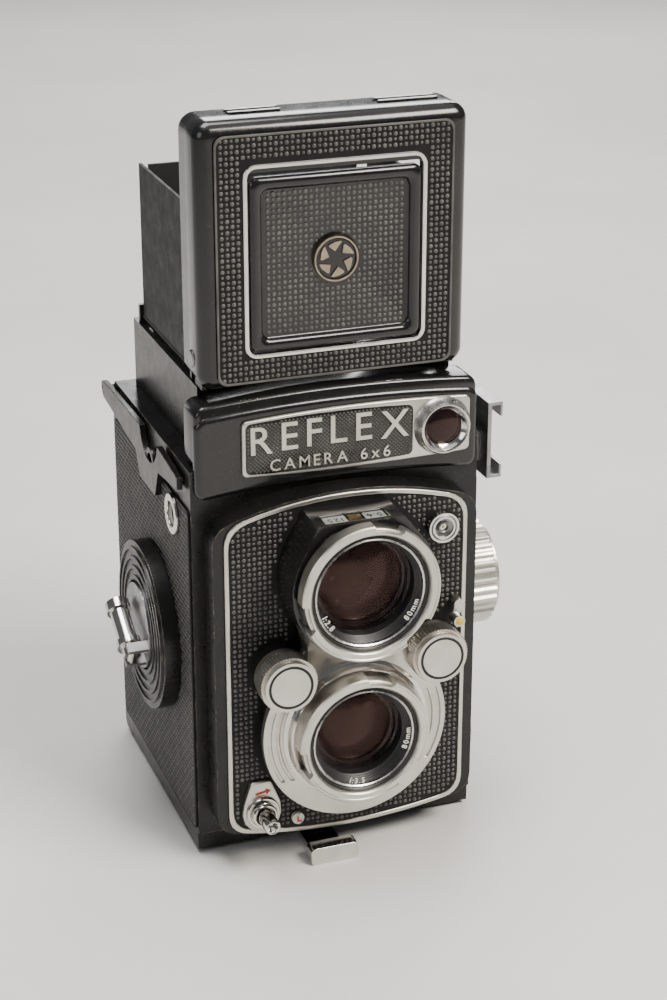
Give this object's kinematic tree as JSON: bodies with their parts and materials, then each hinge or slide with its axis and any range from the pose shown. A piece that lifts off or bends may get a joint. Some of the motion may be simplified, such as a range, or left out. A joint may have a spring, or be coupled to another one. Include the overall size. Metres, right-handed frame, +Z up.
{
  "type": "twin lens reflex camera",
  "caption": "Twin lens reflex camera with an open viewing hood, two stacked lenses on a focusing front, side winding crank and focus knob, and a hinged film door.",
  "frame": {"origin": "mouth of the tripod socket, at the centre of the base on the standing plane", "axes": "+X towards the focus knob side, lenses face -Y, +Z up"},
  "size_m": [0.1003, 0.1044, 0.1915],
  "materials": {
    "black_enamel": "semi-gloss black enamel",
    "black_gloss": "gloss black enamel",
    "leatherette": "pebbled black covering",
    "mirror_glass": "silvered",
    "ground_glass": "ground",
    "satin_silver": "satin anodised",
    "chrome": "polished",
    "grey_metal": "brushed",
    "brass": "machined",
    "cell": "light cell under clear lacquer",
    "clear_glass": "clear",
    "coated_glass": "coated",
    "red_paint": "red paint",
    "white_dial": "printed white",
    "black_plastic": "matt black",
    "yellow_tip": "yellow lacquer"
  },
  "bodies": {
    "body": {"body_casting": "black_enamel", "side_covers": "leatherette", "mirror": "mirror_glass", "focusing_screen": "ground_glass", "meter_housing": "black_gloss", "nameplate": "satin_silver", "meter_cell": "cell", "housing_glass": "clear_glass", "hood_base": "black_enamel", "strap_lugs": "grey_metal", "accessory_shoe": "chrome", "counter_window": "chrome", "crank_plate": "black_enamel"},
    "meter_pointer": {"meter_needle": "red_paint"},
    "counter": {"counter_dial": "white_dial"},
    "crank": {"crank_arm": "grey_metal", "crank_gear": "brass"},
    "crank_grip": {"crank_handle": "chrome"},
    "take_up": {"take_up_gear": "brass", "take_up_spool": "black_plastic"},
    "upper_spool_knob": {"spool_knob_upper": "satin_silver"},
    "lower_spool_knob": {"spool_knob_lower": "satin_silver"},
    "upper_roller": {"film_roller_upper": "grey_metal"},
    "lower_roller": {"film_roller_lower": "grey_metal"},
    "focus_drive": {"focus_knob": "satin_silver", "focus_cam": "brass"},
    "door": {"back_door": "black_enamel", "door_cover": "leatherette", "door_feet": "chrome"},
    "film_pressure": {"pressure_plate": "black_plastic"},
    "door_latch": {"latch_dial": "satin_silver"},
    "door_hook": {"latch_hook": "grey_metal"},
    "front_standard": {"lens_board": "black_enamel", "panel_cover": "leatherette", "panel_trim": "chrome", "shutter_case": "black_enamel", "faceplate": "satin_silver", "viewing_surround": "black_enamel", "bayonet_rings": "chrome", "lens_barrels": "black_plastic", "viewing_lens": "coated_glass", "taking_lens": "coated_glass", "shutter_blades": "grey_metal", "readout_glass": "clear_glass", "sync_socket": "chrome", "release_seat": "satin_silver"},
    "speed_control": {"speed_dial": "satin_silver"},
    "aperture_control": {"aperture_dial": "satin_silver"},
    "sync_selector": {"sync_lever": "yellow_tip"},
    "shutter_release": {"release_button": "chrome"},
    "release_guard": {"release_lock": "white_dial"},
    "lid": {"hood_lid": "black_gloss", "lid_cover": "leatherette", "lid_trim": "chrome"},
    "sports_flap": {"finder_flap": "black_enamel"},
    "magnifier_arm": {"magnifier": "grey_metal", "magnifier_lens": "clear_glass"},
    "rear_panel": {"hood_back": "black_enamel"},
    "left_panel": {"hood_side_left": "black_enamel"},
    "right_panel": {"hood_side_right": "black_enamel"}
  },
  "joints": [
    {"name": "focus_knob_turn", "type": "hinge", "parent": "body", "child": "focus_drive", "pos_m": [0.044, -0.0118, 0.0594], "axis": [-1, 0, 0], "range_deg": [0, 240]},
    {"name": "front_standard_slide", "type": "slide", "parent": "body", "child": "front_standard", "axis": [0, -1, 0], "range_m": [0, 0.007]},
    {"name": "crank_turn", "type": "hinge", "parent": "body", "child": "crank", "pos_m": [-0.043, -0.0009, 0.0523], "axis": [-1, 0, 0], "continuous": true},
    {"name": "take_up_turn", "type": "hinge", "parent": "body", "child": "take_up", "pos_m": [0, 0.0255, 0.08], "axis": [-1, 0, 0], "continuous": true},
    {"name": "counter_turn", "type": "hinge", "parent": "body", "child": "counter", "pos_m": [-0.0365, -0.0202, 0.091], "axis": [-1, 0, 0], "continuous": true},
    {"name": "crank_grip_fold", "type": "hinge", "parent": "crank", "child": "crank_grip", "pos_m": [-0.0474, -0.00869, 0.0478], "axis": [0, -0.5, 0.866], "range_deg": [0, 90]},
    {"name": "upper_spool_knob_pull", "type": "slide", "parent": "body", "child": "upper_spool_knob", "axis": [1, 0, 0], "range_m": [0, 0.006], "stiffness_N_per_m": 150, "springref_m": -0.002},
    {"name": "lower_spool_knob_pull", "type": "slide", "parent": "body", "child": "lower_spool_knob", "axis": [1, 0, 0], "range_m": [0, 0.006], "stiffness_N_per_m": 150, "springref_m": -0.002},
    {"name": "upper_roller_spin", "type": "hinge", "parent": "body", "child": "upper_roller", "pos_m": [0, 0.0318, 0.0669], "axis": [1, 0, 0], "continuous": true},
    {"name": "lower_roller_spin", "type": "hinge", "parent": "body", "child": "lower_roller", "pos_m": [0, 0.0318, 0.0084], "axis": [1, 0, 0], "continuous": true},
    {"name": "back_door_hinge", "type": "hinge", "parent": "body", "child": "door", "pos_m": [0, 0.0423, 0.103], "axis": [1, 0, 0], "range_deg": [0, 120]},
    {"name": "pressure_plate_spring", "type": "slide", "parent": "door", "child": "film_pressure", "axis": [0, 1, 0], "range_m": [0, 0.0008], "stiffness_N_per_m": 800, "springref_m": -0.0006},
    {"name": "door_latch_turn", "type": "hinge", "parent": "door", "child": "door_latch", "pos_m": [0, 0, 0.0012], "axis": [0, 0, 1], "range_deg": [0, 60]},
    {"name": "door_hook_slide", "type": "slide", "parent": "door", "child": "door_hook", "axis": [0, 1, 0], "range_m": [0, 0.003]},
    {"name": "speed_dial_turn", "type": "hinge", "parent": "front_standard", "child": "speed_control", "pos_m": [0.021, -0.05, 0.0565], "axis": [0, -1, 0], "range_deg": [0, 300]},
    {"name": "aperture_dial_turn", "type": "hinge", "parent": "front_standard", "child": "aperture_control", "pos_m": [-0.019, -0.05, 0.0552], "axis": [0, -1, 0], "range_deg": [0, 240]},
    {"name": "sync_lever_turn", "type": "hinge", "parent": "front_standard", "child": "sync_selector", "pos_m": [0.029, -0.044, 0.0665], "axis": [0, -1, 0], "range_deg": [0, 25]},
    {"name": "shutter_release_press", "type": "slide", "parent": "front_standard", "child": "shutter_release", "axis": [0, 1, 0], "range_m": [0, 0.002], "stiffness_N_per_m": 400, "springref_m": -0.001},
    {"name": "release_guard_turn", "type": "hinge", "parent": "front_standard", "child": "release_guard", "pos_m": [-0.0138, -0.043, 0.0114], "axis": [0, -1, 0], "range_deg": [0, 90]},
    {"name": "meter_pointer_swing", "type": "hinge", "parent": "body", "child": "meter_pointer", "pos_m": [0.004, -0.029, 0.12], "axis": [0, 0, 1], "range_deg": [-25, 25], "stiffness_Nm_per_rad": 0.0002},
    {"name": "hood_lid_rock", "type": "hinge", "parent": "body", "child": "lid", "pos_m": [0, -0.0261, 0.1332], "axis": [-1, 0, 0], "range_deg": [0, 10]},
    {"name": "sports_flap_swing", "type": "hinge", "parent": "lid", "child": "sports_flap", "pos_m": [0, -0.03255, 0.1778], "axis": [1, 0, 0], "range_deg": [0, 90]},
    {"name": "magnifier_swing", "type": "hinge", "parent": "sports_flap", "child": "magnifier_arm", "pos_m": [0, -0.029, 0.161], "axis": [1, 0, 0], "range_deg": [0, 90]},
    {"name": "rear_panel_fold", "type": "hinge", "parent": "body", "child": "rear_panel", "pos_m": [0, 0.0294, 0.1264], "axis": [1, 0, 0], "range_deg": [0, 90]},
    {"name": "left_panel_fold", "type": "hinge", "parent": "body", "child": "left_panel", "pos_m": [-0.031, 0.0045, 0.1274], "axis": [0, 1, 0], "range_deg": [0, 90]},
    {"name": "right_panel_fold", "type": "hinge", "parent": "body", "child": "right_panel", "pos_m": [0.031, 0.0045, 0.1292], "axis": [0, -1, 0], "range_deg": [0, 90]}
  ],
  "couplings": [
    {"joint": "focus_knob_turn", "follows": "front_standard_slide", "rad_per_m": 598.39},
    {"joint": "take_up_turn", "follows": "crank_turn", "ratio": -2.8},
    {"joint": "counter_turn", "follows": "crank_turn", "ratio": 0.071429},
    {"joint": "door_latch_turn", "follows": "door_hook_slide", "rad_per_m": 349.06}
  ]
}
